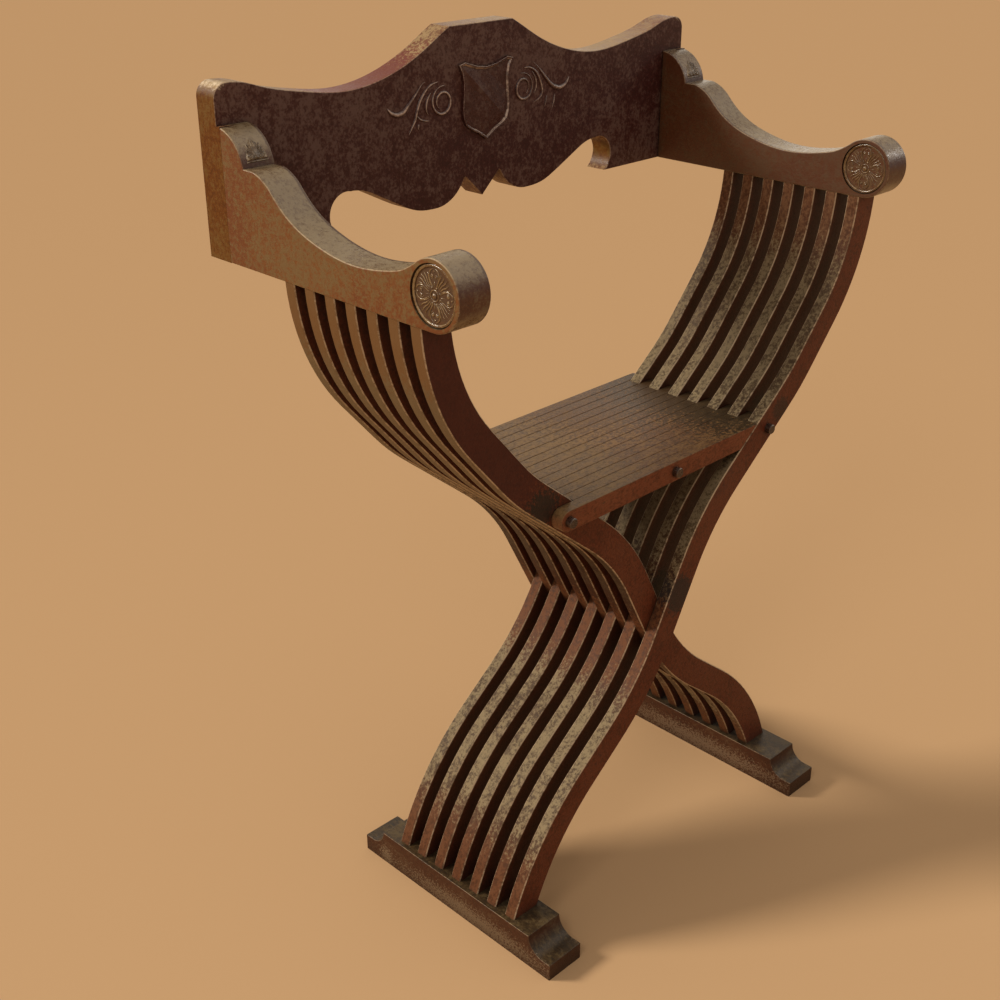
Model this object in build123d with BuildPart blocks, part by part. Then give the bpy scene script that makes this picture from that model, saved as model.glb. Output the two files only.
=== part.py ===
"""A folding Savonarola chair of interleaved S-shaped slats, in millimetres.

The chair faces -Y and stands on Z = 0. X = 0 is the plane of the scissor pivot, and Y = 0 is
halfway between the toes of the feet and the back of the back board. Seen from the front, the
right frame is the arm, the slats and the foot that are one rigid piece from the upper right to
the lower left, and the left frame is its mirror image. Slats and seat strips stand one behind
another in layers, with the right frame's slats in the odd layers, counted from the front, and
the left frame's in the even ones. A seat strip lies in the layers of the opposite frame.
"""

import os
from math import atan2, cos, radians, sin, sqrt

from build123d import *

RIGHT = 1
LEFT = -1

# Overall
half_width = 330.0  # to the outer faces of the arms and the ends of the back board
arm_rise = 231.0  # of the arms' straight undersides above the seat rods
arm_thickness = 35.0
arm_tail = 85.2  # of the arms behind the slats
foot_height = 40.0

# Slats
slats_per_frame = 7
slat_thickness = 13.8
layer_gap = 0.2  # running clearance between neighbouring layers
slat_width = 33.5
slat_ease = 1.0  # bevel along the slats' edges
tenon_width = 16.0
tenon_thickness = 8.0
tenon_length = 16.0

# The middle line of a right slat, seen from the front
pivot_height = 298.5
waist_steepness = 12.3009  # degrees by which the waist stands steeper than the straight run from pivot to seat rod
waist_above = 128.8  # along the middle line, from the pivot up to the hip bend
waist_below = 67.8  # along the middle line, from the pivot down to the thigh bend
elbow_reach = 63.7700  # from the seat rod up to the elbow bend
elbow_steepness = 5.2432  # degrees by which that reach is steeper than the run from hip bend to seat rod
shoulder_drop = 65.4  # of the shoulder bend, below the arm's underside
knee_out = 197.5  # of the knee bend, outwards from the pivot
knee_drop = 191.5  # of the knee bend, below the pivot
heel_out = 41.5  # aim of the last stretch, outwards from the knee bend
heel_drop = 144.0  # aim of the last stretch, below the knee bend
shoulder_radius = 211.0
elbow_radius = 264.0
hip_radius = 265.0
thigh_radius = 288.0
knee_radius = 300.0

# Rods
pivot_rod_radius = 6.0
pivot_rod_cover = 5.0  # wood left in front of the pivot rod's blind ends
pivot_end_play = 0.3
seat_rod_radius = 5.4
seat_rod_projection = 6.6  # pin heads stand out of the front and rear faces
pin_ease = 0.8
running_clearance = 0.05  # radial, where wood turns on a rod

# Seat
seat_rod_spacing = 320.0
seat_rod_height = 488.5
strip_height = 22.0
strip_end_gap = 0.6  # between a strip's free end and the slats it stops short of
strip_ease = 0.7

# Arms: heights above the underside, and distances forwards from the rear end
bullnose_height = 124.0
bullnose_belly = (20.0, 117.0)
bullnose_depth = 36.0
step_height = 91.5
step_edge = 50.0
brow = (64.0, 86.0)
brow_foot = (77.0, 75.0)
rear_sweep = [(99.0, 57.5), (140.0, 41.7)]
front_sweep = [(90.0, 35.7), (45.0, 42.0)]  # distances behind the front of the slats
scroll_radius = 31.0
scroll_lead = 2.4  # of the scroll's centre in front of the slats
scroll_join_angle = 35.0  # degrees back from the top of the scroll
rosette_recess_radius = 27.0
rosette_recess_depth = 2.5
arm_ease = 1.2

# Back board
board_thickness = 28.0
board_clearance = 0.2
lip_depth = 5.0  # half-dovetail lips that hook round the arms' rear ends
lip_root = 12.0
lip_undercut = 2.0
board_ease = 1.0

# Crest of the back board: heights above the arms' rear tops
peak_half = 45.0  # half the flat's length, either side of the middle
peak_rise = 59.0
valleys = [  # share of the way out from the peak to the ear, and height
    (0.1365, 38.5),
    (0.314, 19.5),
    (0.502, 12.5),
    (0.69, 18.5),
    (0.852, 28.0),
]
ear_rise = 36.5
ear_radius = 14.0

# Lower edge of the back board: distances out from the middle, heights above its lowest line
notch_start = 198.0
notch_belly = (207.5, 21.5)
notch_top = (180.0, 40.0)
lower_sweep = [(149.0, 31.0), (108.0, 10.5)]
lobe_low = (69.0, 2.5)
lobe_side = (41.0, 11.0)
vee_top = (26.0, 30.0)
vee_radius = 2.0
tongue_tip = (0.0, 5.5)

# Feet
foot_width = 48.0
foot_overhang = 58.0  # in front of the slats
foot_tail = 41.2  # behind the slats
toe_length = 31.0
toe_height = 20.0
foot_ease = 0.8

# Worked out from the above
layer_pitch = slat_thickness + layer_gap
layer_count = 2 * slats_per_frame
pack_depth = layer_count * layer_pitch - layer_gap
arm_reach = pack_depth + arm_tail
arm_bottom = seat_rod_height + arm_rise
bullnose_top = arm_bottom + bullnose_height
chair_depth = foot_overhang + arm_reach + board_clearance + board_thickness
front_y = foot_overhang - chair_depth / 2
right_layers = range(0, layer_count, 2)
left_layers = range(1, layer_count, 2)
arm_middle = half_width - arm_thickness / 2
arm_back = front_y + arm_reach
cove_radius = foot_height - toe_height
seat_half = seat_rod_spacing / 2
waist_lean = atan2(seat_half, seat_rod_height - pivot_height) - radians(waist_steepness)  # from upright
waist_run = sin(waist_lean)
waist_rise = cos(waist_lean)
hip_out = waist_above * waist_run
hip_height = pivot_height + waist_above * waist_rise
elbow_slope = atan2(seat_rod_height - hip_height, seat_half - hip_out) + radians(elbow_steepness)
beyond = 4 * half_width  # wider than the chair, for trimming across it
diagonal = sqrt(0.5)


def facing_plane(y):
    """A vertical plane across the chair: sketches see X to the right and Z up."""
    return Plane(origin=(0, y, 0), x_dir=(1, 0, 0), z_dir=(0, -1, 0))


def side_plane(x):
    """A vertical plane along the chair: sketches see Y to the right and Z up."""
    return Plane(origin=(x, 0, 0), x_dir=(0, 1, 0), z_dir=(1, 0, 0))


def layer_front(layer):
    """Y of a layer's front face."""
    return front_y + layer * layer_pitch


def slat_bends(side):
    """Corners of a slat's middle line, from above the arm's underside to below the floor."""
    corners = [
        (arm_middle, arm_bottom + slat_width),
        (arm_middle, arm_bottom - shoulder_drop),
        (seat_half + elbow_reach * cos(elbow_slope), seat_rod_height + elbow_reach * sin(elbow_slope)),
        (hip_out, hip_height),
        (-waist_below * waist_run, pivot_height - waist_below * waist_rise),
        (-knee_out, pivot_height - knee_drop),
        (-knee_out - heel_out, pivot_height - knee_drop - heel_drop),
    ]
    return [(side * x, z) for x, z in corners]


def slat_outline(side, width):
    """The S-shaped band of a slat, between the foot's top and the arm's underside."""
    with BuildSketch() as outline:
        with BuildLine():
            FilletPolyline(
                *slat_bends(side),
                radius=[shoulder_radius, elbow_radius, hip_radius, thigh_radius, knee_radius],
            )
        trace(line_width=width)
        with Locations((0, (arm_bottom + foot_height) / 2)):
            Rectangle(beyond, arm_bottom - foot_height, mode=Mode.INTERSECT)
    return outline.sketch


slat_face = {side: slat_outline(side, slat_width) for side in (RIGHT, LEFT)}
slat_space = {side: slat_outline(side, slat_width + 2 * strip_end_gap) for side in (RIGHT, LEFT)}
ankle_x = slat_face[RIGHT].edges().sort_by(Axis.Y)[0].center().X
tenon_spots = {
    side: [
        (side * arm_middle, arm_bottom + tenon_length / 2),
        (side * ankle_x, foot_height - tenon_length / 2),
    ]
    for side in (RIGHT, LEFT)
}


def tenon_places(side, x):
    """Plan positions of one frame's tenons along an arm or a foot."""
    layers = right_layers if side == RIGHT else left_layers
    return [(x, layer_front(layer) + slat_thickness / 2) for layer in layers]


def lip_corners(side, growth, rear):
    """Plan of a half-dovetail lip, grown all round by a clearance for the rebate it sits in."""
    outer = side * (half_width + 2 * growth)
    root = side * (half_width - lip_root - growth)
    tip = side * (half_width - lip_root - lip_undercut - growth)
    tip_y = arm_back - lip_depth - growth
    return [(outer, rear), (outer, tip_y), (tip, tip_y), (root, arm_back), (root, rear)]


def write(part, name):
    """Label a finished piece and write it to its own file."""
    part.label = name
    export_step(part, f"parts/{name}.step")


def make_slat(side, layer, name):
    """One S-shaped slat, tenoned at both ends and bored for the pivot and for its seat rod."""
    y = layer_front(layer)
    pivot_fit = 0 if side == RIGHT else running_clearance
    with BuildPart() as slat:
        with BuildSketch(facing_plane(y)):
            add(slat_face[side])
        extrude(amount=-slat_thickness)
        long_edges = slat.faces().filter_by(Axis.Y).edges().sort_by(Axis.Z)[2:-2]
        chamfer(long_edges, length=slat_ease)
        with BuildSketch(facing_plane(y + (slat_thickness - tenon_thickness) / 2)):
            with Locations(*tenon_spots[side]):
                Rectangle(tenon_width, tenon_length)
        extrude(amount=-tenon_thickness)
        with BuildSketch(facing_plane(y)):
            with Locations((side * seat_half, seat_rod_height)):
                Circle(seat_rod_radius)
        extrude(amount=-slat_thickness, mode=Mode.SUBTRACT)
        bore_start = y + (pivot_rod_cover - pivot_end_play if layer == 0 else 0)
        bore_end = y + slat_thickness
        if layer == layer_count - 1:
            bore_end -= pivot_rod_cover - pivot_end_play
        with BuildSketch(facing_plane(bore_start)):
            with Locations((0, pivot_height)):
                Circle(pivot_rod_radius + pivot_fit)
        extrude(amount=bore_start - bore_end, mode=Mode.SUBTRACT)
    write(slat.part, name)


def make_strip(side, layer, name):
    """One seat strip: a round end turns on its own side's rod, the other stops at the slats."""
    y = layer_front(layer)
    with BuildPart() as strip:
        with BuildSketch(facing_plane(y)):
            with Locations((0, seat_rod_height)):
                Rectangle(seat_rod_spacing, strip_height)
            with Locations((side * seat_half, seat_rod_height)):
                Circle(strip_height / 2)
            add(slat_space[-side], mode=Mode.SUBTRACT)
        extrude(amount=-slat_thickness)
        fillet(strip.faces().filter_by(Axis.Y).edges(), radius=strip_ease)
        with BuildSketch(facing_plane(y)):
            with Locations((side * seat_half, seat_rod_height)):
                Circle(seat_rod_radius + running_clearance)
            with Locations((0, seat_rod_height)):
                Circle(seat_rod_radius)
        extrude(amount=-slat_thickness, mode=Mode.SUBTRACT)
    write(strip.part, name)


def make_rod(x, z, radius, start, end, name):
    """A round rod along Y with eased ends."""
    with BuildPart() as rod:
        with BuildSketch(facing_plane(start)):
            with Locations((x, z)):
                Circle(radius)
        extrude(amount=start - end)
        chamfer(rod.faces().filter_by(Axis.Y).edges(), length=pin_ease)
    write(rod.part, name)


def make_middle_pins(layers, name):
    """The middle pin's stretches inside one set of strips: where the strips cross and turn."""
    with BuildPart() as pins:
        for layer in layers:
            start = layer_front(layer)
            end = start + slat_thickness
            if layer == 0:
                start -= seat_rod_projection
            if layer == layer_count - 1:
                end += seat_rod_projection
            with BuildSketch(facing_plane(start)):
                with Locations((0, seat_rod_height)):
                    Circle(seat_rod_radius)
            extrude(amount=start - end)
        ends = pins.faces().filter_by(Axis.Y).sort_by(Axis.Y)
        head = ends[0] if 0 in layers else ends[-1]
        chamfer(head.edges(), length=pin_ease)
    write(pins.part, name)


def make_arm(side, name):
    """An arm: stepped, bullnosed and swept down to a scroll with a sunk disc on each face."""
    inner_x = side * half_width - (arm_thickness if side == RIGHT else 0)
    outer_x = inner_x + arm_thickness
    scroll_height = arm_bottom + scroll_radius
    scroll_y = front_y - scroll_lead
    join_run = sin(radians(scroll_join_angle))
    join_rise = cos(radians(scroll_join_angle))
    join = (scroll_y + scroll_radius * join_run, scroll_height + scroll_radius * join_rise)
    belly, middle_brow, brow_end, *sweep = [
        (arm_back - y, arm_bottom + z) for y, z in (bullnose_belly, brow, brow_foot, *rear_sweep)
    ]
    sweep += [(front_y + y, arm_bottom + z) for y, z in front_sweep]
    step_foot = (arm_back - bullnose_depth, arm_bottom + step_height)
    step_lip = (arm_back - step_edge, arm_bottom + step_height)
    with BuildPart() as arm:
        with BuildSketch(side_plane(inner_x)):
            with BuildLine():
                Line((arm_back, arm_bottom), (arm_back, bullnose_top))
                ThreePointArc((arm_back, bullnose_top), belly, step_foot)
                Line(step_foot, step_lip)
                ThreePointArc(step_lip, middle_brow, brow_end)
                Spline(brow_end, *sweep, join, tangents=[(-1, -1), (-join_rise, join_run)])
                ThreePointArc(
                    join,
                    (scroll_y - scroll_radius, scroll_height),
                    (scroll_y, arm_bottom),
                )
                Line((scroll_y, arm_bottom), (arm_back, arm_bottom))
            make_face()
        extrude(amount=arm_thickness)
        fillet(arm.faces().filter_by(Axis.X).edges(), radius=arm_ease)
        for face_x, inward in ((inner_x, 1), (outer_x, -1)):
            with BuildSketch(side_plane(face_x)):
                with Locations((scroll_y, scroll_height)):
                    Circle(rosette_recess_radius)
            extrude(amount=inward * rosette_recess_depth, mode=Mode.SUBTRACT)
        with BuildSketch(Plane.XY.offset(arm_bottom - arm_ease)):
            Polygon(*lip_corners(side, board_clearance, arm_back + lip_depth), align=None)
        extrude(amount=bullnose_top - arm_bottom + 2 * arm_ease, mode=Mode.SUBTRACT)
        with BuildSketch(Plane.XY.offset(arm_bottom)):
            with Locations(*tenon_places(side, side * arm_middle)):
                Rectangle(tenon_width, tenon_thickness)
        extrude(amount=tenon_length, mode=Mode.SUBTRACT)
    write(arm.part, name)


def make_foot(side, name):
    """A runner foot with a hollow cove and a flat toe at each end, under one frame's slats."""
    low_x = side * ankle_x - foot_width / 2
    toe = front_y - foot_overhang
    heel_end = front_y + pack_depth + foot_tail
    hollow = cove_radius * (1 - diagonal)
    with BuildPart() as foot:
        with BuildSketch(side_plane(low_x)):
            with BuildLine():
                Polyline(
                    (toe + toe_length, foot_height),
                    (heel_end - toe_length, foot_height),
                )
                ThreePointArc(
                    (heel_end - toe_length, foot_height),
                    (heel_end - toe_length + hollow, toe_height + hollow),
                    (heel_end - toe_length + cove_radius, toe_height),
                )
                Polyline(
                    (heel_end - toe_length + cove_radius, toe_height),
                    (heel_end, toe_height),
                    (heel_end, 0),
                    (toe, 0),
                    (toe, toe_height),
                    (toe + toe_length - cove_radius, toe_height),
                )
                ThreePointArc(
                    (toe + toe_length - cove_radius, toe_height),
                    (toe + toe_length - hollow, toe_height + hollow),
                    (toe + toe_length, foot_height),
                )
            make_face()
        extrude(amount=foot_width)
        upper_edges = foot.edges().filter_by_position(Axis.Z, toe_height / 2, foot_height)
        fillet(upper_edges, radius=foot_ease)
        with BuildSketch(Plane.XY.offset(foot_height)):
            with Locations(*tenon_places(side, side * ankle_x)):
                Rectangle(tenon_width, tenon_thickness)
        extrude(amount=-tenon_length, mode=Mode.SUBTRACT)
    write(foot.part, name)


def make_back_board(name):
    """The crest board behind the arms, with a lip at each end that slides down over an arm."""
    front = arm_back + board_clearance
    peak = (peak_half, bullnose_top + peak_rise)
    ear_top = bullnose_top + ear_rise
    ear_side = ear_top - ear_radius
    ear_x = half_width - ear_radius
    crest = [
        (peak_half + share * (ear_x - peak_half), bullnose_top + z) for share, z in valleys
    ]
    belly, notch, *sweep, low, side_point, vee, tip = [
        (x, arm_bottom + z)
        for x, z in (notch_belly, notch_top, *lower_sweep, lobe_low, lobe_side, vee_top, tongue_tip)
    ]
    with BuildPart() as board:
        with BuildSketch(facing_plane(front)) as front_outline:
            with BuildLine():
                Line((0, peak[1]), peak)
                Spline(peak, *crest, (ear_x, ear_top), tangents=[(2, -1), (1, 0)])
                ThreePointArc(
                    (ear_x, ear_top),
                    (ear_x + ear_radius * diagonal, ear_side + ear_radius * diagonal),
                    (half_width, ear_side),
                )
                Polyline(
                    (half_width, ear_side), (half_width, arm_bottom), (notch_start, arm_bottom)
                )
                ThreePointArc((notch_start, arm_bottom), belly, notch)
                Spline(notch, *sweep, low, tangents=[(-1, 0), (-1, 0)])
                ThreePointArc(low, side_point, vee)
                Polyline(vee, tip, (0, peak[1]))
            make_face()
            mirror(about=Plane.YZ)
            vee_corners = front_outline.vertices().filter_by(
                lambda corner: abs(abs(corner.X) - vee_top[0]) < vee_radius
            )
            fillet(vee_corners, radius=vee_radius)
        extrude(amount=-board_thickness)
        fillet(board.faces().filter_by(Axis.Y).edges(), radius=board_ease)
        with BuildSketch(Plane.XY.offset(arm_bottom)):
            for side in (RIGHT, LEFT):
                Polygon(*lip_corners(side, 0, front + board_ease), align=None)
        extrude(amount=bullnose_top - arm_bottom)
    write(board.part, name)


os.makedirs("parts", exist_ok=True)

for number, layer in enumerate(right_layers, start=1):
    make_slat(RIGHT, layer, f"slat_right_{number}")
    make_strip(LEFT, layer, f"seat_strip_left_{number}")

for number, layer in enumerate(left_layers, start=1):
    make_slat(LEFT, layer, f"slat_left_{number}")
    make_strip(RIGHT, layer, f"seat_strip_right_{number}")

make_arm(RIGHT, "arm_right")
make_arm(LEFT, "arm_left")
make_foot(RIGHT, "foot_left")
make_foot(LEFT, "foot_right")
make_back_board("back_board")

pack_back = front_y + pack_depth
make_rod(
    0,
    pivot_height,
    pivot_rod_radius,
    front_y + pivot_rod_cover,
    pack_back - pivot_rod_cover,
    "pivot_rod",
)
for side, name in ((RIGHT, "seat_rod_right"), (LEFT, "seat_rod_left")):
    make_rod(
        side * seat_half,
        seat_rod_height,
        seat_rod_radius,
        front_y - seat_rod_projection,
        pack_back + seat_rod_projection,
        name,
    )
make_middle_pins(right_layers, "middle_pins_left_strips")
make_middle_pins(left_layers, "middle_pins_right_strips")
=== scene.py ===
import math

import bmesh
import bpy
from mathutils import Matrix, Vector


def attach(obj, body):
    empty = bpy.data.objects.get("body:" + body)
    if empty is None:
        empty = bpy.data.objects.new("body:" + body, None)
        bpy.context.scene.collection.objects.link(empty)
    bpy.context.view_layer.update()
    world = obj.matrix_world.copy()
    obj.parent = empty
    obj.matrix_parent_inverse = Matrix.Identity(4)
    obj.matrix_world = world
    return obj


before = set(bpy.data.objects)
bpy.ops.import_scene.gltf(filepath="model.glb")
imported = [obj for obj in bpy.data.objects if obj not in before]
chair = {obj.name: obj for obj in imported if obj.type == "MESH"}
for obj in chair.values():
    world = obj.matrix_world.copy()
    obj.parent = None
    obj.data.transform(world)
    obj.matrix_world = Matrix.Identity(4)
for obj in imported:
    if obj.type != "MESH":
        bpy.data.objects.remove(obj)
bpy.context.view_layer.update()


# ---------------------------------------------------------------------------------------------
# Runner feet. Two planks on edge with coved toes, stained walnut gone grey on top and scuffed low
# down along the sides. The slats are glued into them from above.
# ---------------------------------------------------------------------------------------------
def put(tree, kind, inputs=(), **settings):
    """Adds one node to a finish, with its settings and its inputs: a value, or a socket to link."""
    node = tree.nodes.new(kind)
    for key, value in settings.items():
        setattr(node, key, value)
    for key, value in dict(inputs).items():
        if isinstance(value, bpy.types.NodeSocket):
            tree.links.new(value, node.inputs[key])
        else:
            node.inputs[key].default_value = value
    return node


def sums(tree, operation, first, second=0.5, third=0.5):
    """A Math node's answer."""
    return put(tree, "ShaderNodeMath", {0: first, 1: second, 2: third}, operation=operation).outputs[0]


def between(tree, value, low, high, start=0.0, end=1.0):
    """Runs smoothly from start to end while value goes from low to high."""
    node = put(tree, "ShaderNodeMapRange", {0: value, 1: low, 2: high, 3: start, 4: end},
               interpolation_type="SMOOTHSTEP")
    return node.outputs[0]


def blend(tree, share, under, over):
    """Lays one colour over another."""
    return put(tree, "ShaderNodeMix", {0: share, 6: under, 7: over}, data_type="RGBA").outputs[2]


def cloudy(tree, place, scale, detail, rough, shift, stretch=(1, 1, 1)):
    """A patchy value about 0.5, moved by shift and drawn out along the grain by stretch."""
    spread = put(tree, "ShaderNodeMapping", {"Vector": place, "Scale": stretch, "Location": shift})
    node = put(tree, "ShaderNodeTexNoise",
               {"Vector": spread.outputs[0], "Scale": scale, "Detail": detail, "Roughness": rough})
    return node.outputs[0]


def old_walnut(name, grain, faces, wear_and_highlight, edge_on, edge_share, shift, gloss=0.5, fine=1.0,
               grime_and_shade_reach=0.012, grime_and_shade_share=0.8, stained=0.6, marks=()):
    """Dark-stained walnut, waxed, handled and gone grey in patches.

    grain: stretch of the patches, small along the fibres. faces: for each facing of the wood its axis
    and the share of that axis where it starts and is full, then dark wood, light wood, the bloom on
    it, how much of it the bloom covers, and how dull it is; on the arms and the board these colours
    also hold painted light, a painted sheen on the tops and the faces along X painted lighter than
    the fronts. wear_and_highlight, edge_on, edge_share: the colour of rubbed edges with a painted
    highlight along them, the axis and the two shares of it between which a face counts as an edge,
    and how strongly it shows. shift: moves the pattern, so that no two finishes match. gloss: how
    shiny the wax is. fine: how small the patches are. grime_and_shade_reach, grime_and_shade_share:
    how far grime and painted shade come out of the corners and gaps, in metres, and how thick they
    are. stained: how strong the dark stains are. marks: for each marked zone its middle and half
    sizes in metres, its colour, its share, how ragged it is, whether it keeps off the faces that
    look along Y, and whether it lies over the stains.
    """
    stain = (0.012, 0.009, 0.005, 1)
    corner_grime_and_shade = (0.016, 0.009, 0.005, 1)
    very_ragged = 4

    finish = bpy.data.materials.new(name)
    finish.use_nodes = True
    tree = finish.node_tree
    tree.nodes.clear()
    spot = put(tree, "ShaderNodeTexCoord")
    place = spot.outputs["Object"]
    facing = put(tree, "ShaderNodeSeparateXYZ", {0: spot.outputs["Normal"]})
    aside = {axis: sums(tree, "ABSOLUTE", facing.outputs[i]) for i, axis in enumerate("XYZ")}

    # patterns, from a hand's width down to a pore
    broad = cloudy(tree, place, 11, 4, 0.6, (shift, 0, 0))
    patches = cloudy(tree, place, 85 * fine, 10, 0.80, (shift, shift, 0),
                     tuple(0.45 + 0.55 * g for g in grain))
    flecks = cloudy(tree, place, 300, 7, 0.72, (shift, 0, shift), tuple(0.6 + 0.4 * g for g in grain))
    specks = cloudy(tree, place, 620, 4, 0.7, (0, shift, 0), tuple(0.5 + 0.5 * g for g in grain))
    fibres = cloudy(tree, place, 700, 2, 0.5, (shift, 0, shift), grain)
    weave = sums(tree, "ADD", sums(tree, "MULTIPLY", fibres, 0.35), sums(tree, "MULTIPLY", broad, 0.65))

    # each facing of the wood takes over from the one before it
    wood = None
    for axis, low, high, dark, light, bloom_and_sheen, spread, matt in faces:
        here = blend(tree, between(tree, weave, 0.38, 0.62), [*dark, 1], [*light, 1])
        bloom_and_sheen = [*bloom_and_sheen, 1]
        if wood is None:
            wood, film_and_sheen, cover, dull = here, bloom_and_sheen, spread, matt
        else:
            share = between(tree, aside[axis], low, high)
            wood = blend(tree, share, wood, here)
            film_and_sheen = blend(tree, share, film_and_sheen, bloom_and_sheen)
            cover = sums(tree, "MULTIPLY_ADD", share, sums(tree, "SUBTRACT", spread, cover), cover)
            dull = sums(tree, "MULTIPLY_ADD", share, sums(tree, "SUBTRACT", matt, dull), dull)

    # the bloom, partly a painted sheen on tops, lies in ragged patches, and they run together where it covers
    # more
    level = sums(tree, "MULTIPLY_ADD", sums(tree, "SUBTRACT", broad, 0.5), 0.5, patches)
    level = sums(tree, "MULTIPLY_ADD", sums(tree, "SUBTRACT", flecks, 0.5), 0.8, level)
    level = sums(tree, "MULTIPLY_ADD", cover, 0.3, level)
    lies = between(tree, level, 0.55, 0.74)
    wood = blend(tree, sums(tree, "MULTIPLY", lies, 0.85), wood, film_and_sheen)

    def mark(wood, middle, reach, colour, share, ragged, sides_only):
        """Lays one marked zone over the wood, with a rim that breaks up into flecks or specks."""
        off = put(tree, "ShaderNodeVectorMath", {0: place, 1: middle}, operation="SUBTRACT")
        off = put(tree, "ShaderNodeVectorMath", {0: off.outputs[0], 1: reach}, operation="DIVIDE")
        off = put(tree, "ShaderNodeVectorMath", {0: off.outputs[0]}, operation="LENGTH")
        grit = specks if ragged > very_ragged else flecks
        out = sums(tree, "MULTIPLY_ADD", sums(tree, "SUBTRACT", grit, 0.5), ragged, off.outputs["Value"])
        mask = sums(tree, "MULTIPLY", between(tree, out, 0.65, 1.0, 1.0, 0.0), share)
        if sides_only:
            mask = sums(tree, "MULTIPLY", mask, between(tree, aside["Y"], 0.8, 0.95, 1.0, 0.0))
        return blend(tree, mask, wood, [*colour, 1])

    # marks, some under the stains and some over them
    for *zone, over in marks:
        if not over:
            wood = mark(wood, *zone)
    stains = between(tree, sums(tree, "MULTIPLY_ADD", patches, 0.7, flecks), 0.72, 0.92, 1.0, 0.0)
    wood = blend(tree, sums(tree, "MULTIPLY", stains, stained), wood, stain)
    for *zone, over in marks:
        if over:
            wood = mark(wood, *zone)

    # rubbed edges with a painted highlight along them, paler where the patches stand out
    axis, low, high = edge_on
    rim = sums(tree, "MULTIPLY", between(tree, aside[axis], low, low + 0.1),
               between(tree, aside[axis], high, high + 0.08, 1.0, 0.0))
    rim = sums(tree, "MULTIPLY", rim, between(tree, level, 0.50, 0.72, 0.25, 1.0))
    wood = blend(tree, sums(tree, "MULTIPLY", rim, edge_share), wood, [*wear_and_highlight, 1])

    # grime and painted shade in the corners, gaps and recesses, darker where the ambient occlusion is low
    open_air = put(tree, "ShaderNodeAmbientOcclusion", {"Distance": grime_and_shade_reach}, samples=6)
    grime_and_shade = between(tree, open_air.outputs["AO"], 0.25, 0.82, grime_and_shade_share, 0.0)
    wood = blend(tree, grime_and_shade, wood, corner_grime_and_shade)

    # duller under the bloom, with open pores and a slightly uneven film
    dull = sums(tree, "ADD", dull, sums(tree, "MULTIPLY", lies, 0.12))
    dull = sums(tree, "ADD", dull, between(tree, specks, 0.3, 0.7, -0.08, 0.10))
    pores = put(tree, "ShaderNodeBump", {"Strength": 0.3, "Distance": 0.0003, "Height": specks})
    uneven = put(tree, "ShaderNodeBump",
                 {"Strength": 0.5, "Distance": 0.0006, "Height": level, "Normal": pores.outputs[0]})
    surface = put(tree, "ShaderNodeBsdfPrincipled",
                  {"Base Color": wood, "Roughness": dull, "Normal": uneven.outputs[0],
                   "Specular IOR Level": gloss})
    put(tree, "ShaderNodeOutputMaterial", {"Surface": surface.outputs[0]})
    return finish


def dress(nodes, finish):
    """Gives CAD pieces their finish."""
    for node in nodes:
        chair[node].data.materials.clear()
        chair[node].data.materials.append(finish)


both_sides = (-1, 1)
foot_outside, foot_inside = 0.2395, 0.1915  # the side faces, from the middle of the chair
foot_scuffs = [
    ((side * foot_outside, y, 0.010), (0.004, reach, 0.012), (0.22, 0.155, 0.09), 0.5, 7.0, True, True)
    for side in both_sides for y, reach in ((-0.07, 0.11), (0.076, 0.010))]
foot_scuffs += [
    ((side * foot_inside, -0.04, 0.012), (0.004, 0.13, 0.012), (0.22, 0.15, 0.09), 0.5, 7.0, True, True)
    for side in both_sides]
foot_wood = old_walnut(
    "foot_wood", (0.9, 0.2, 0.9),
    [("X", 0, 0, (0.044, 0.011, 0.003), (0.060, 0.017, 0.005), (0.080, 0.042, 0.018), 0.02, 0.5),
     ("Y", 0.5, 0.9, (0.045, 0.015, 0.006), (0.066, 0.022, 0.008), (0.080, 0.050, 0.026), 0.1, 0.5),
     ("Z", 0.3, 0.8, (0.024, 0.014, 0.006), (0.062, 0.034, 0.012), (0.100, 0.066, 0.026), 0.26, 0.40)],
    (0.34, 0.21, 0.11), ("X", 0.2, 0.85), edge_share=0.6, shift=3.1, gloss=0.28, grime_and_shade_reach=0.03,
    stained=0.3, marks=foot_scuffs)
dress(("foot_left", "foot_right"), foot_wood)


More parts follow.
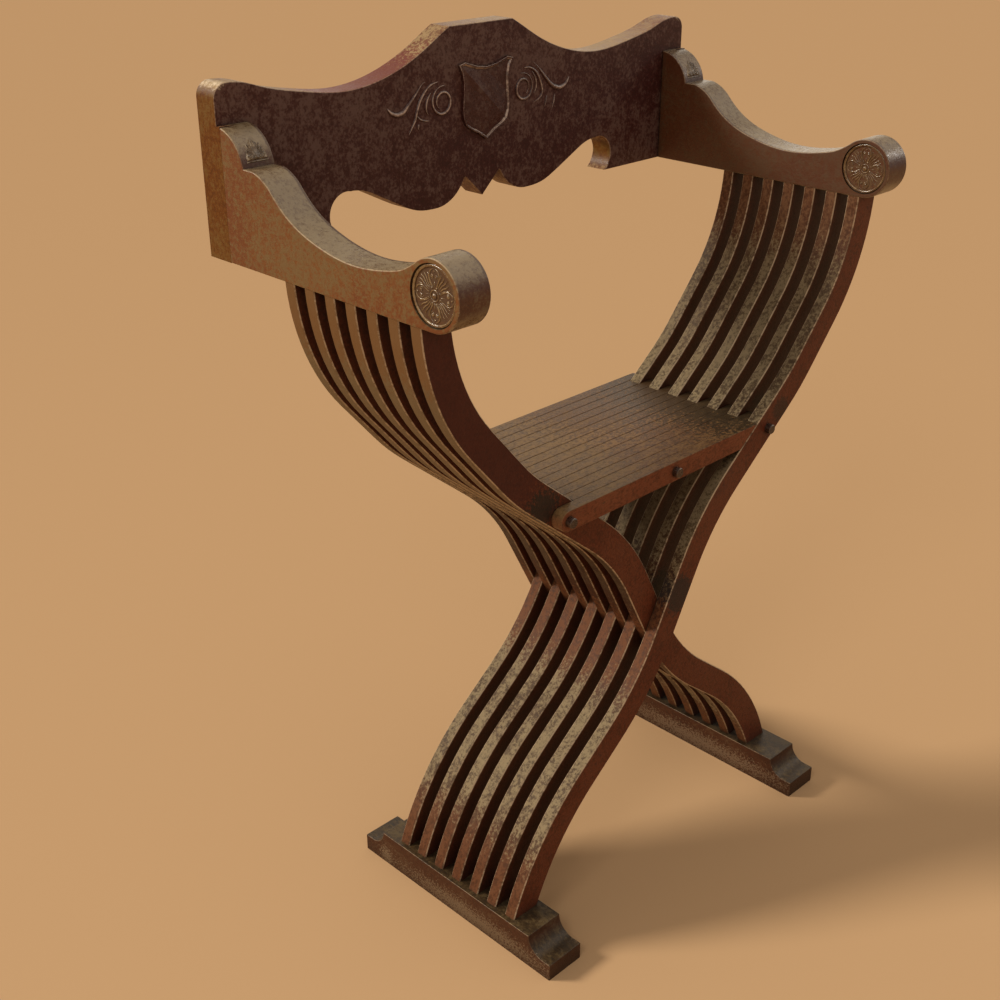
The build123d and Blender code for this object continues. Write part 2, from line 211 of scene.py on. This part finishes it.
# ---------------------------------------------------------------------------------------------
# S-shaped slats. Seven bent-looking staves in each frame, sawn from walnut boards and eased along
# their edges. Their front faces stay smooth and dark, and their sides carry a khaki bloom.
# ---------------------------------------------------------------------------------------------
front_y = -0.118  # about the front faces of the two frames
seat_rod_zone_z = 0.505
slat_marks = [
    # darker runs over and under the seat, on the right
    ((0.22, 0, 0.60), (0.18, 0.5, 0.17), (0.070, 0.042, 0.021), 0.35, 3.9, True, False),
    ((0.10, 0, 0.41), (0.14, 0.5, 0.10), (0.085, 0.052, 0.026), 0.35, 3.4, True, False),
    # painted shade on the run under the seat, on the left
    ((-0.075, 0, 0.365), (0.10, 0.5, 0.08), (0.034, 0.014, 0.008), 0.75, 1.6, True, True),
    # red-brown where hands and shoes keep the bloom off: the crossing and the lower ends
    ((0, 0, 0.285), (0.115, 0.5, 0.085), (0.125, 0.038, 0.012), 0.9, 2.0, True, False),
    ((-0.225, 0, 0.04), (0.09, 0.5, 0.085), (0.112, 0.036, 0.012), 0.9, 2.0, True, False),
    ((0.225, 0, 0.04), (0.09, 0.5, 0.085), (0.112, 0.036, 0.012), 0.9, 2.0, True, False),
    # the upper runs: a dark front and brown sides on the left, brown under each arm
    ((-0.28, -0.11, 0.62), (0.15, 0.03, 0.20), (0.046, 0.011, 0.009), 0.7, 1.5, False, True),
    ((-0.27, 0, 0.62), (0.16, 0.5, 0.18), (0.150, 0.098, 0.045), 0.85, 0.8, True, True),
    ((-0.325, 0, 0.715), (0.05, 0.5, 0.075), (0.160, 0.066, 0.018), 0.6, 2.4, True, True),
    ((0.325, 0, 0.705), (0.08, 0.5, 0.09), (0.110, 0.034, 0.012), 0.7, 2.0, True, False),
    # painted shade on the front round the seat rods and the crossing
    ((-0.182, front_y, seat_rod_zone_z), (0.026, 0.04, 0.024), (0.022, 0.018, 0.013), 0.85, 2.6, False, True),
    ((0.182, front_y, seat_rod_zone_z), (0.018, 0.04, 0.016), (0.018, 0.017, 0.013), 0.6, 1.6, False, True),
    ((0.020, front_y, 0.335), (0.026, 0.04, 0.028), (0.018, 0.017, 0.016), 0.8, 1.6, False, True)]
slat_wood = old_walnut(
    "slat_wood", (0.9, 0.9, 0.6),
    [("X", 0, 0, (0.088, 0.030, 0.011), (0.140, 0.055, 0.020), (0.215, 0.150, 0.078), 0.48, 0.50),
     ("Z", 0.25, 0.65, (0.098, 0.054, 0.024), (0.145, 0.084, 0.040), (0.255, 0.195, 0.108), 0.60, 0.52),
     ("Y", 0.82, 0.96, (0.105, 0.024, 0.010), (0.155, 0.043, 0.018), (0.060, 0.026, 0.018), 0.0, 0.45)],
    (0.54, 0.40, 0.26), ("Y", 0.45, 0.85), edge_share=0.75, shift=0.7, gloss=0.16, fine=1.2,
    grime_and_shade_reach=0.028, grime_and_shade_share=0.7, stained=0.45, marks=slat_marks)
dress([f"slat_{side}_{i}" for side in ("right", "left") for i in range(1, 8)], slat_wood)


# ---------------------------------------------------------------------------------------------
# Rods and middle pins. Turned walnut pegs at the seat's two sides and in its middle, with
# chamfered heads that stand proud of the outermost slats and strips, and a blind rod through the
# crossing.
# ---------------------------------------------------------------------------------------------
pin_wood = old_walnut(
    "pin_wood", (0.9, 0.5, 0.9),
    [("Y", 0, 0, (0.026, 0.010, 0.007), (0.050, 0.020, 0.012), (0.060, 0.045, 0.028), 0.1, 0.28)],
    (0.30, 0.20, 0.12), ("Y", 0.3, 0.9), edge_share=0.5, shift=5.3)
dress(("pivot_rod", "seat_rod_right", "seat_rod_left", "middle_pins_right_strips",
       "middle_pins_left_strips"), pin_wood)


# ---------------------------------------------------------------------------------------------
# Seat strips. Fourteen flat walnut strips laid side by side, pale on top with a painted sheen on the
# left, and nearly black in the joints between them. Each is bored for its rod.
# ---------------------------------------------------------------------------------------------
seat_top = 0.4995
# painted shade by the right slats, brown in the middle, a painted sheen on the left
strip_marks = [
    ((0.20, -0.03, seat_top), (0.15, 0.20, 0.03), (0.022, 0.018, 0.010), 0.8, 2.2, True, True),
    ((0.06, 0.03, seat_top), (0.12, 0.10, 0.03), (0.075, 0.038, 0.017), 0.5, 4.0, True, True),
    ((-0.13, 0.02, seat_top), (0.13, 0.24, 0.03), (0.190, 0.120, 0.052), 0.5, 1.2, True, False)]
strip_wood = old_walnut(
    "strip_wood", (0.3, 0.9, 0.9),
    [("Y", 0, 0, (0.165, 0.048, 0.021), (0.220, 0.074, 0.033), (0.080, 0.042, 0.022), 0.05, 0.5),
     ("Z", 0.3, 0.8, (0.138, 0.062, 0.024), (0.185, 0.086, 0.032), (0.222, 0.122, 0.048), 0.42, 0.38)],
    (0.22, 0.15, 0.08), ("Y", 0.3, 0.85), edge_share=0.1, shift=8.2, gloss=0.12, fine=1.2,
    grime_and_shade_reach=0.006, grime_and_shade_share=0.9, stained=0.4, marks=strip_marks)
dress([f"seat_strip_{side}_{i}" for side in ("right", "left") for i in range(1, 8)], strip_wood)


# ---------------------------------------------------------------------------------------------
# Arms. Each is sawn from one thick walnut plank: a sunk disc in the front scroll, a long sweep,
# two steps and a bullnose under the back board. A rosette fills each disc and a fan each bullnose.
# ---------------------------------------------------------------------------------------------
scroll_y, scroll_z = -0.1280, 0.7505  # middle of the front scrolls
arm_inside, arm_middle = 0.2950, 0.3125  # an arm's inner face and its middle, from the chair's middle
disc_floors = {"right": (0.2975, 0.3275), "left": (-0.2975, -0.3275)}
inner_disc, outer_disc = 0.2970, 0.3265  # where the painted shade in the discs lies

# painted shade: darker on the inner faces, and in the sunk discs that look outwards
arm_shade_marks = [
    ((side * arm_inside, 0, 0.80), (0.004, 0.4, 0.4), (0.050, 0.013, 0.004), 0.75, 0.6, True, True)
    for side in both_sides]
arm_shade_marks += [
    ((side * outer_disc, scroll_y, scroll_z), (0.0036, 0.034, 0.034), (0.058, 0.025, 0.009), 0.85, 0.6,
     False, True) for side in both_sides]
# painted light in the facings: a painted sheen on the tops, and the faces along X painted lighter than the
# fronts along Y
arm_wood = old_walnut(
    "arm_wood", (0.9, 0.6, 0.9),
    [("Y", 0, 0, (0.060, 0.016, 0.007), (0.090, 0.028, 0.011), (0.120, 0.080, 0.042), 0.2, 0.34),
     ("Z", 0.25, 0.7, (0.145, 0.084, 0.036), (0.190, 0.122, 0.058), (0.255, 0.188, 0.106), 0.55, 0.26),
     ("X", 0.6, 0.95, (0.135, 0.032, 0.002), (0.180, 0.058, 0.005), (0.140, 0.084, 0.024), 0.45, 0.50)],
    (0.58, 0.42, 0.24), ("X", 0.25, 0.85), edge_share=0.4, shift=1.9, gloss=0.45, fine=1.6,
    stained=0.14, marks=arm_shade_marks)
rosette_wood = old_walnut(
    "rosette_wood", (0.9, 0.9, 0.9),
    [("Y", 0, 0, (0.085, 0.034, 0.010), (0.140, 0.066, 0.020), (0.160, 0.098, 0.036), 0.32, 0.16)],
    (0.46, 0.31, 0.14), ("X", 0.1, 0.9), edge_share=0.42, shift=2.9, gloss=0.9, grime_and_shade_reach=0.002,
    grime_and_shade_share=0.9, stained=0.3,
    # painted shade on the rosettes in the inner discs
    marks=[((side * inner_disc, 0, 0.75), (0.005, 0.4, 0.4), (0.060, 0.026, 0.010), 0.55, 0.6, False, True)
           for side in both_sides])
dress(("arm_right", "arm_left"), arm_wood)

mm = 0.001


def ridge(points, girth, ends=0.15, belly=1.0, closed=False):
    """A carved ridge that follows points (mm).

    It thins towards both ends, to the share ends of its girth at least, and is fullest in its
    middle, or nearer the far end where belly is over 1. A closed ridge keeps its girth all round.
    """
    curve = bpy.data.curves.new("ridge", "CURVE")
    curve.dimensions = "3D"
    curve.bevel_depth = girth * mm
    curve.bevel_resolution = 2
    curve.use_fill_caps = not closed
    line = curve.splines.new("POLY")
    line.points.add(len(points) - 1)
    for i, (point, (x, y)) in enumerate(zip(line.points, points)):
        along = i / (len(points) - 1)
        point.co = (x * mm, y * mm, 0, 1)
        point.radius = 1.0 if closed else max(ends, min(1.0, math.sin(math.pi * along ** belly) ** 0.6))
    line.use_cyclic_u = closed
    holder = bpy.data.objects.new("ridge", curve)
    mesh = bpy.data.meshes.new_from_object(holder)
    bpy.data.objects.remove(holder)
    bpy.data.curves.remove(curve)
    return mesh


def flow(points, steps=8):
    """A smooth line through given points."""
    out = []
    for i in range(len(points) - 1):
        a, b, c, d = points[max(i - 1, 0)], points[i], points[i + 1], points[min(i + 2, len(points) - 1)]
        for k in range(steps):
            t = k / steps
            out.append(tuple(
                0.5 * (2 * b[j] + (c[j] - a[j]) * t + (2 * a[j] - 5 * b[j] + 4 * c[j] - d[j]) * t * t
                       + (3 * b[j] - a[j] - 3 * c[j] + d[j]) * t ** 3)
                for j in range(2)))
    out.append(points[-1])
    return out


def volute(centre, start, outer, inner, turns, hand=1):
    """A spiral from its rim in to its eye."""
    steps = 40
    out = []
    for i in range(steps + 1):
        t = i / steps
        r = outer * (inner / outer) ** t
        a = math.radians(start) + hand * turns * 2 * math.pi * t
        out.append((centre[0] + r * math.cos(a), centre[1] + r * math.sin(a)))
    return out


def hoop(radius, count):
    """Points round a circle."""
    return [(radius * math.cos(2 * math.pi * i / count), radius * math.sin(2 * math.pi * i / count))
            for i in range(count)]


def turned(points, degrees):
    """Points turned about the middle."""
    c, s = math.cos(math.radians(degrees)), math.sin(math.radians(degrees))
    return [(x * c - y * s, x * s + y * c) for x, y in points]


def bead(carving, x, y, r, tall):
    """A small round bead, tall being its height over its radius."""
    place = Matrix.Translation((x * mm, y * mm, 0)) @ Matrix.Diagonal((1, 1, tall, 1))
    bmesh.ops.create_uvsphere(carving, u_segments=10, v_segments=6, radius=r * mm, matrix=place)


def carve(parts):
    """Gathers ridges into one relief, drawn flat in x and y with z standing out of the wood."""
    carving = bmesh.new()
    for part in parts:
        carving.from_mesh(part)
        bpy.data.meshes.remove(part)
    return carving


def finish_carving(carving, name, places, body, finish):
    """Turns a relief into one object, with a copy at each place."""
    bmesh.ops.remove_doubles(carving, verts=carving.verts[:], dist=0.02 * mm)
    base = bpy.data.meshes.new(name)
    carving.to_mesh(base)
    carving.free()
    whole = bmesh.new()
    for place in places:
        before = len(whole.verts)
        whole.from_mesh(base)
        whole.verts.ensure_lookup_table()
        bmesh.ops.transform(whole, matrix=place, verts=whole.verts[before:])
    bmesh.ops.recalc_face_normals(whole, faces=whole.faces[:])
    mesh = bpy.data.meshes.new(name)
    whole.to_mesh(mesh)
    whole.free()
    bpy.data.meshes.remove(base)
    mesh.polygons.foreach_set("use_smooth", [True] * len(mesh.polygons))
    mesh.materials.append(finish)
    piece = bpy.data.objects.new(name, mesh)
    bpy.context.scene.collection.objects.link(piece)
    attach(piece, body)
    return piece


def rosette():
    """The carved flower of a disc, 27 mm in radius."""
    lobe = flow([(1.2, 6.2), (4.2, 10.5), (6.0, 15.5), (4.4, 20.2), (0.6, 22.6)])
    stem = [(0, 6.0), (0, 9), (0, 12.5)]
    quarter = [(lobe, 0.75), ([(-x, y) for x, y in lobe], 0.75), (stem, 0.5)]
    for hand in (1, -1):
        quarter.append((volute((hand * 2.5, 15.6), -90, 2.3, 0.7, 1.2, hand), 0.6))
    for lean in (-34, -17, 0, 17, 34):
        petal = flow([(0, 7.5), (0.5, 12), (-0.3, 17.5), (0.4, 21.8 - abs(lean) * 0.05)])
        quarter.append((turned(petal, 45 + lean * 0.62), 0.62))
    parts = [ridge(hoop(24.9, 64), 1.5, closed=True), ridge(hoop(4.6, 24), 0.65, closed=True)]
    for degrees in (0, 90, 180, 270):
        parts += [ridge(turned(points, degrees), girth) for points, girth in quarter]
    carving = carve(parts)
    bead(carving, 0, 0, 2.6, 0.7)
    for x, y in turned(hoop(7.0, 8), 22.5):
        bead(carving, x, y, 0.95, 0.9)
    for degrees in (0, 90, 180, 270):
        for at, r in (((2.5, 15.6), 1.0), ((-2.5, 15.6), 1.0), ((0, 20.3), 0.9)):
            x, y = turned([at], degrees)[0]
            bead(carving, x, y, r, 0.9)
    return carving


for side, body in (("right", "right_frame"), ("left", "left_frame")):
    places = []
    for floor_x in disc_floors[side]:
        outward = 1 if (abs(floor_x) > arm_middle) == (floor_x > 0) else -1  # along X
        places.append(Matrix(((0, 0, outward, floor_x), (-outward, 0, 0, scroll_y), (0, 1, 0, scroll_z),
                              (0, 0, 0, 1))))
    finish_carving(rosette(), f"rosettes_{side}", places, body, rosette_wood)


def fan():
    """A seven-leaved fan over a bar. In mm, x across the arm, y up the bullnose from its lower edge."""
    parts = [ridge([(-11.4, 5.0), (-4, 5.0), (4, 5.0), (11.4, 5.0)], 0.8, ends=0.7)]
    for lean, reach in ((0, 17.5), (-26, 15.0), (26, 15.0), (-50, 11.6), (50, 11.6), (-74, 9.6), (74, 9.6)):
        blade = [(0.0, 2.4), (1.5, reach * 0.55), (1.0, reach * 0.85), (0.0, reach),
                 (-1.0, reach * 0.85), (-1.5, reach * 0.55), (0.0, 2.4)]
        parts.append(ridge([(x, y + 7.4) for x, y in turned(flow(blade, 5), -lean)], 0.62, ends=0.5))
    for hand in both_sides:
        parts.append(ridge([(hand * x, y) for x, y in volute((5.6, 9.6), 180, 2.6, 0.9, 1.4, -1)], 0.8))
    carving = carve(parts)
    bead(carving, 0, 8.6, 2.0, 0.7)
    for hand in both_sides:
        bead(carving, hand * 5.6, 9.6, 1.0, 0.8)
    return carving


def stippled_ground():
    """The ground behind the fan: a thin plate that narrows upwards, in rows so that it bends."""
    rows = ((6.2, 11.0), (8.0, 11.2), (10.0, 11.0), (12.0, 10.4), (14.0, 9.4), (16.0, 8.2), (18.0, 6.8),
            (20.0, 5.4), (22.0, 3.9), (24.0, 2.4), (25.6, 1.0))  # height and half width
    low, high = -0.2, 0.22
    y, half = rows[0]
    plate = bmesh.new()
    row = plate.faces.new([plate.verts.new((x * mm, y * mm, z * mm))
                           for x, z in ((-half, low), (half, low), (half, high), (-half, high))])
    for y, half in rows[1:]:
        raised = bmesh.ops.extrude_face_region(plate, geom=[row, *row.edges])["geom"]
        for v in (v for v in raised if isinstance(v, bmesh.types.BMVert)):
            v.co = (math.copysign(half, v.co.x) * mm, y * mm, v.co.z)
        row = next(f for f in raised if isinstance(f, bmesh.types.BMFace))
    return plate


fan_wood = old_walnut(
    "fan_wood", (0.9, 0.9, 0.9),
    [("Y", 0, 0, (0.095, 0.052, 0.023), (0.140, 0.084, 0.039), (0.210, 0.150, 0.085), 0.4, 0.26)],
    (0.66, 0.54, 0.38), ("X", 0.55, 0.97), edge_share=0.8, shift=9.1, gloss=0.6, grime_and_shade_reach=0.004,
    grime_and_shade_share=0.95, stained=0.3)
nose_y, nose_z, nose_radius = 157.753, 804.705, 38.8665  # mm
nose_foot = math.radians(170.68)  # the bullnose's lower edge, seen from its middle
sunk = 0.05  # mm
for side, body, hand in (("right", "right_frame", 1), ("left", "left_frame", -1)):
    for name, carving, tall in (("fan", fan(), 1.1), ("ground", stippled_ground(), 1.0)):
        for v in carving.verts:  # bent round the bullnose
            angle = nose_foot - v.co.y / (nose_radius * mm)
            reach = nose_radius * mm + v.co.z * tall - sunk * mm
            v.co = (hand * arm_middle + v.co.x, nose_y * mm + reach * math.cos(angle),
                    nose_z * mm + reach * math.sin(angle))
        finish_carving(carving, f"bullnose_{name}_{side}", [Matrix.Identity(4)], body, fan_wood)


# ---------------------------------------------------------------------------------------------
# Back board. One wide walnut board with a shaped crest and hooked notches, slid down round the
# arms' ends. A shield between two leafy scrolls is carved in low relief on its front.
# ---------------------------------------------------------------------------------------------
# painted highlights on the crest's outer corners
board_marks = [
    ((side * 0.326, 0.17, 0.897), (0.018, 0.05, 0.024), (0.80, 0.66, 0.46), 0.9, 1.2, False, True)
    for side in both_sides]
# the crest itself, red on the left slope, with a painted sheen in khaki from its top to the right end
board_marks += [
    ((-0.150, 0.17, 0.850), (0.105, 0.05, 0.070), (0.140, 0.020, 0.013), 0.85, 2.6, True, True),
    ((0.135, 0.17, 0.885), (0.185, 0.05, 0.050), (0.330, 0.225, 0.130), 0.6, 1.8, True, True)]
# painted light in the facings: a painted sheen on the tops, and the ends along X painted lighter than the
# front along Y
board_wood = old_walnut(
    "board_wood", (0.9, 0.9, 0.65),
    [("Y", 0, 0, (0.052, 0.012, 0.011), (0.076, 0.020, 0.016), (0.122, 0.068, 0.054), 0.42, 0.42),
     ("Z", 0.35, 0.8, (0.150, 0.042, 0.016), (0.200, 0.088, 0.032), (0.340, 0.230, 0.110), 0.44, 0.46),
     ("X", 0.6, 0.95, (0.120, 0.032, 0.002), (0.160, 0.056, 0.006), (0.135, 0.070, 0.016), 0.42, 0.34)],
    (0.55, 0.40, 0.27), ("Y", 0.25, 0.85), edge_share=0.4, shift=4.4, gloss=0.2, fine=1.3, stained=0.35,
    marks=board_marks)
dark_carving = [
    ("Y", 0, 0, (0.044, 0.010, 0.009), (0.066, 0.016, 0.014), (0.100, 0.056, 0.044), 0.26, 0.30)]
# the pale crests of the scrollwork and rims of the shield: rubbed wear with a painted highlight
scroll_wood = old_walnut(
    "scroll_wood", (0.9, 0.9, 0.9), dark_carving, (0.58, 0.43, 0.34), ("Y", 0.84, 2.0),
    edge_share=0.75, shift=6.6, gloss=0.6, grime_and_shade_reach=0.003, stained=0.3)
shield_wood = old_walnut(
    "shield_wood", (0.9, 0.9, 0.9), dark_carving, (0.56, 0.42, 0.33), ("Y", 0.30, 0.80),
    edge_share=0.9, shift=7.4, gloss=0.34, grime_and_shade_reach=0.003, stained=0.3)
dress(("back_board",), board_wood)

board_face = 155.6  # mm, where the relief stands


def shield():
    """A shield with a thin rolled rim and a field folded along a slanting crest.

    In mm, z out of the board.
    """
    middle_x = 4.6
    half = [(0, 784.0), (5, 787.2), (13.5, 792.3), (23, 796.8), (30, 801.5), (33.6, 810), (34.3, 819),
            (33.0, 832), (32.6, 846), (34.5, 855), (38.8, 863.5), (30.5, 865.6), (14, 860.4), (0, 858.6)]
    outline = [(middle_x + x, z) for x, z in half] + [(middle_x - x, z) for x, z in half[-2:0:-1]]
    plate = bmesh.new()
    corners = [plate.verts.new((x * mm, z * mm, -0.6 * mm)) for x, z in outline]
    face = plate.faces.new(corners)
    if face.normal.z < 0:
        bmesh.ops.reverse_faces(plate, faces=[face])
    raised = bmesh.ops.extrude_face_region(plate, geom=[face], use_keep_orig=True)
    top = [v for v in raised["geom"] if isinstance(v, bmesh.types.BMVert)]
    bmesh.ops.translate(plate, verts=top, vec=(0, 0, 3.9 * mm))
    rim_face = [f for f in plate.faces if f.calc_center_median().z > 3.0 * mm]
    bmesh.ops.inset_region(plate, faces=rim_face, thickness=1.5 * mm, depth=0, use_even_offset=True)
    field = [f for f in plate.faces if f.calc_center_median().z > 3.2 * mm and len(f.verts) > 4]
    bmesh.ops.inset_region(plate, faces=field, thickness=1.4 * mm, depth=-2.3 * mm, use_even_offset=True)
    proud = [e for e in plate.edges if all(v.co.z > 3.2 * mm for v in e.verts)
             and len(e.link_faces) == 2 and e.calc_face_angle(0) > 0.3]
    bmesh.ops.bevel(plate, geom=proud, offset=0.6 * mm, offset_type="OFFSET", segments=3, profile=0.5,
                    affect="EDGES", material=-1)
    # the crest runs from the field's upper left corner to its lower right, 1 to 2 mm over its edges
    field = max((f for f in plate.faces if 0.8 * mm < f.calc_center_median().z < 1.4 * mm),
                key=lambda f: f.calc_area())
    ends = [min(field.verts, key=lambda v: (v.co.x - x * mm) ** 2 + (v.co.y - z * mm) ** 2)
            for x, z in ((-31.0, 860.0), (34.0, 802.0))]
    crest = [plate.verts.new(ends[0].co.lerp(ends[1].co, share) + Vector((0, 0, rise * mm)))
             for share, rise in ((0.12, 1.1), (0.9, 2.2))]
    loop = list(field.verts)
    first, second = sorted((loop.index(ends[0]), loop.index(ends[1])))
    along = crest if loop[first] is ends[0] else crest[::-1]
    halves = (loop[first:second + 1] + along[::-1], loop[second:] + loop[:first + 1] + along)
    bmesh.ops.delete(plate, geom=[field], context="FACES_ONLY")
    for side in halves:
        flat = plate.faces.new(side)
        bmesh.ops.triangulate(plate, faces=[flat])
    mesh = bpy.data.meshes.new("shield")
    plate.to_mesh(mesh)
    plate.free()
    return mesh


# leafy scrolls, left then right: spiral, long tendril, arching leaf, curl and little stems
parts = [
    ridge(volute((-56.5, 830.2), 75, 16.0, 7.6, 1.45), 1.8, ends=0.3),
    ridge(flow([(-79.5, 852.5), (-84.4, 850.0), (-91, 843.5), (-98, 837), (-104.7, 831), (-111, 826.3),
                (-118.5, 825.0), (-125.5, 827.6), (-130.5, 832.6)]), 2.7, ends=0.12, belly=1.9),
    ridge(flow([(-61.6, 850.6), (-71.2, 848.8), (-79, 844.2), (-86.7, 835.4), (-91.6, 825), (-94.0, 817),
                (-98.4, 810), (-103.2, 802.6)]), 1.7, ends=0.1),
    ridge(flow([(-92.5, 822), (-88, 817.0), (-82, 814.4), (-75, 813.4)]), 1.2),
    ridge(flow([(-72.2, 841), (-77.6, 834), (-79.3, 825.5), (-76, 819)]), 1.5),
    ridge(flow([(-89.4, 812.5), (-90.8, 806.5)]), 1.2),
    ridge(volute((61.2, 829.8), 105, 15.6, 7.6, 1.45, -1), 1.8, ends=0.3),
    ridge(flow([(75.5, 855.5), (83.6, 849.2), (89.4, 843.2), (97.2, 834.9), (106.2, 827.2),
                (117.0, 823.6), (126.5, 826.0), (133.2, 833)]), 2.7, ends=0.12, belly=1.7),
    ridge(flow([(62.5, 850.6), (72.7, 849.2), (81.5, 843), (87.4, 833), (90.2, 822.8), (87, 816.6),
                (77.7, 812.6)]), 1.9, ends=0.12),
    ridge(flow([(74.5, 845.5), (79.5, 838), (80.8, 829), (77.6, 821.5)]), 1.3),
    ridge(flow([(98.0, 817.2), (96.4, 811), (94.2, 805)]), 1.25, ends=0.3),
    ridge(flow([(111.0, 817.8), (109.0, 810), (106.2, 802.4)]), 1.25, ends=0.3),
]
on_board = Matrix(((1, 0, 0, 0), (0, 0, -1, board_face * mm), (0, 1, 0, 0), (0, 0, 0, 1)))
finish_carving(carve(parts), "board_scrollwork", [on_board], "back", scroll_wood)
shield_piece = finish_carving(carve([shield()]), "board_shield", [on_board], "back",
                              shield_wood)
shield_piece.data.polygons.foreach_set("use_smooth", [False] * len(shield_piece.data.polygons))


# ---------------------------------------------------------------------------------------------
# Where the chair stands: a plain pale floor, a soft sun from behind on the left, one small raking
# lamp from the front left, and three lamps that show in the wood's gloss alone.
# ---------------------------------------------------------------------------------------------
def pale_floor():
    """A wide plain floor at the soles of the feet."""
    ground = bmesh.new()
    bmesh.ops.create_grid(ground, x_segments=1, y_segments=1, size=20)
    mesh = bpy.data.meshes.new("floor")
    ground.to_mesh(mesh)
    ground.free()
    floor = bpy.data.objects.new("floor", mesh)
    bpy.context.scene.collection.objects.link(floor)
    paint = bpy.data.materials.new("floor_paint")
    paint.use_nodes = True
    surface = paint.node_tree.nodes["Principled BSDF"]
    surface.inputs["Base Color"].default_value = (0.58, 0.37, 0.20, 1)
    surface.inputs["Roughness"].default_value = 0.9
    surface.inputs["Specular IOR Level"].default_value = 0.0
    mesh.materials.append(paint)


pale_floor()
scene = bpy.context.scene
sky = bpy.data.worlds.new("studio")
scene.world = sky
sky.use_nodes = True
air = sky.node_tree.nodes["Background"]
air.inputs["Color"].default_value = (1.0, 0.88, 0.76, 1)
air.inputs["Strength"].default_value = 0.45

sun = bpy.data.lights.new("window", "SUN")
sun.energy = 2.7
sun.angle = math.radians(14)
sun.color = (1.0, 0.91, 0.78)
sunlight = bpy.data.objects.new("window", sun)
sunlight.rotation_euler = Vector((-0.58, 0.62, 0.53)).to_track_quat("Z", "Y").to_euler()
scene.collection.objects.link(sunlight)

middle = Vector((0, 0, 0.45))
for name, spot, size, power, tint, gloss_only in (
        ("overhead", (1.3, -0.7, 2.7), 2.4, 24, (1.0, 0.90, 0.76), True),
        ("glint", (2.4, -0.8, 1.5), 0.3, 7, (1.0, 0.92, 0.84), True),
        ("back_panel", (2.6, 2.6, 2.0), 2.6, 24, (1.0, 0.90, 0.74), True),
        ("raking", (-2.1, -0.9, 2.6), 0.9, 14, (1.0, 0.94, 0.86), False)):
    lamp = bpy.data.lights.new(name, "AREA")
    lamp.size = size
    lamp.energy = power
    lamp.color = tint
    holder = bpy.data.objects.new(name, lamp)
    holder.location = spot
    holder.visible_diffuse = not gloss_only
    holder.rotation_euler = (middle - Vector(spot)).to_track_quat("-Z", "Y").to_euler()
    scene.collection.objects.link(holder)

eye = bpy.data.cameras.new("eye")
eye.lens = 50.17
eye.sensor_width = 36
tripod = bpy.data.objects.new("eye", eye)
eye_spot = (-1.03785, -0.91892, 1.09216)
heading, dip, roll = -44.695, 26.169, -0.107  # degrees
tripod.matrix_world = (
    Matrix.Translation(eye_spot) @ Matrix.Rotation(math.radians(heading), 4, "Z")
    @ Matrix.Rotation(math.radians(90 - dip), 4, "X") @ Matrix.Rotation(math.radians(roll), 4, "Z"))
scene.collection.objects.link(tripod)
scene.camera = tripod
scene.view_settings.view_transform = "Standard"
